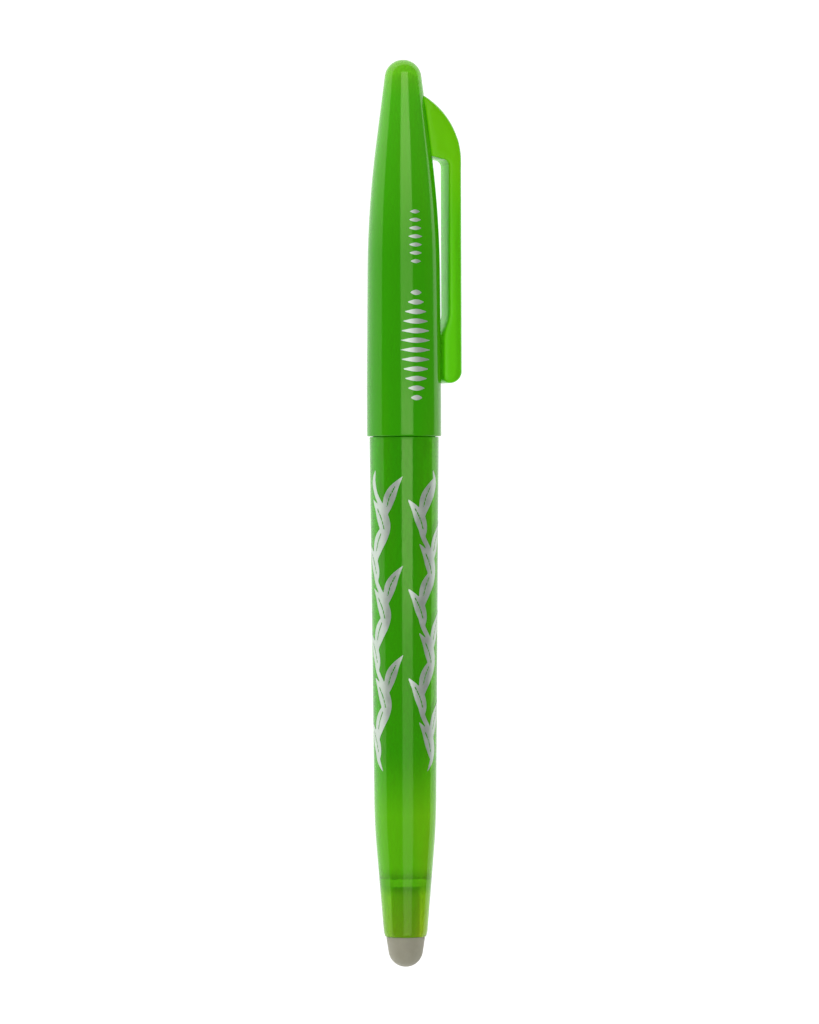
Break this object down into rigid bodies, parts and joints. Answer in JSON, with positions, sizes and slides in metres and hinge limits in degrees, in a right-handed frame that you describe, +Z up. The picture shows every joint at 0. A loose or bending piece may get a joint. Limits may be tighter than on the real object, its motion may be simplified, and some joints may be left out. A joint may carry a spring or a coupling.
{
  "type": "capped gel pen",
  "caption": "Capped gel pen with a clip on the cap, a screw-in refill section and a rubber eraser stud on the rear end.",
  "frame": {"origin": "the writing point: the front of the ball, on the pen's axis", "axes": "+Y along the pen's axis, from the eraser toward the cap's crown; +X toward the clip; the pen lies with +Z up"},
  "size_m": [0.0152, 0.143, 0.0118],
  "materials": {
    "cap_plastic": "clear tinted, polished",
    "inner_cap_plastic": "translucent",
    "barrel_plastic": "clear tinted, polished",
    "eraser_rubber": "matt",
    "section_plastic": "tinted, polished",
    "grip_rubber": "matt",
    "tube_plastic": "translucent",
    "plug_plastic": "natural",
    "ink": "wet",
    "grease": "wet",
    "holder_plastic": "natural",
    "tip_metal": "turned",
    "ball_metal": "polished"
  },
  "bodies": {
    "barrel": {"barrel": "barrel_plastic", "eraser": "eraser_rubber"},
    "refill": {"refill_tube": "tube_plastic", "tail_plug": "plug_plastic", "gel_ink": "ink", "tip_holder": "holder_plastic", "metal_tip": "tip_metal"},
    "section": {"grip_core": "section_plastic", "grip_sleeve": "grip_rubber", "nose_cone": "section_plastic"},
    "cap": {"cap_shell": "cap_plastic", "inner_cap": "inner_cap_plastic"},
    "clip": {"clip": "cap_plastic"},
    "follower": {"follower": "grease"},
    "ball": {"writing_ball": "ball_metal"}
  },
  "joints": [
    {"name": "section_advance", "type": "slide", "parent": "barrel", "child": "refill", "axis": [0, 1, 0], "range_m": [0, 0.006]},
    {"name": "section_unscrew", "type": "hinge", "parent": "refill", "child": "section", "pos_m": [0, -0.043, 0], "axis": [0, 1, 0], "range_deg": [0, 1440]},
    {"name": "cap_pull", "type": "slide", "parent": "section", "child": "cap", "axis": [0, 1, 0], "range_m": [0, 0.06]},
    {"name": "clip_flex", "type": "hinge", "parent": "cap", "child": "clip", "pos_m": [0.00935, -0.00075, 0], "axis": [0, 0, 1], "range_deg": [0, 3], "stiffness_Nm_per_rad": 0.5},
    {"name": "follower_creep", "type": "slide", "parent": "refill", "child": "follower", "axis": [0, 1, 0], "range_m": [0, 0.056], "deforming": ["gel_ink"]},
    {"name": "ball_roll", "type": "hinge", "parent": "refill", "child": "ball", "pos_m": [0, -0.00035, 0], "axis": [1, 0, 0], "continuous": true}
  ],
  "couplings": [
    {"joint": "section_advance", "follows": "section_unscrew", "m_per_rad": 0.00023873}
  ]
}
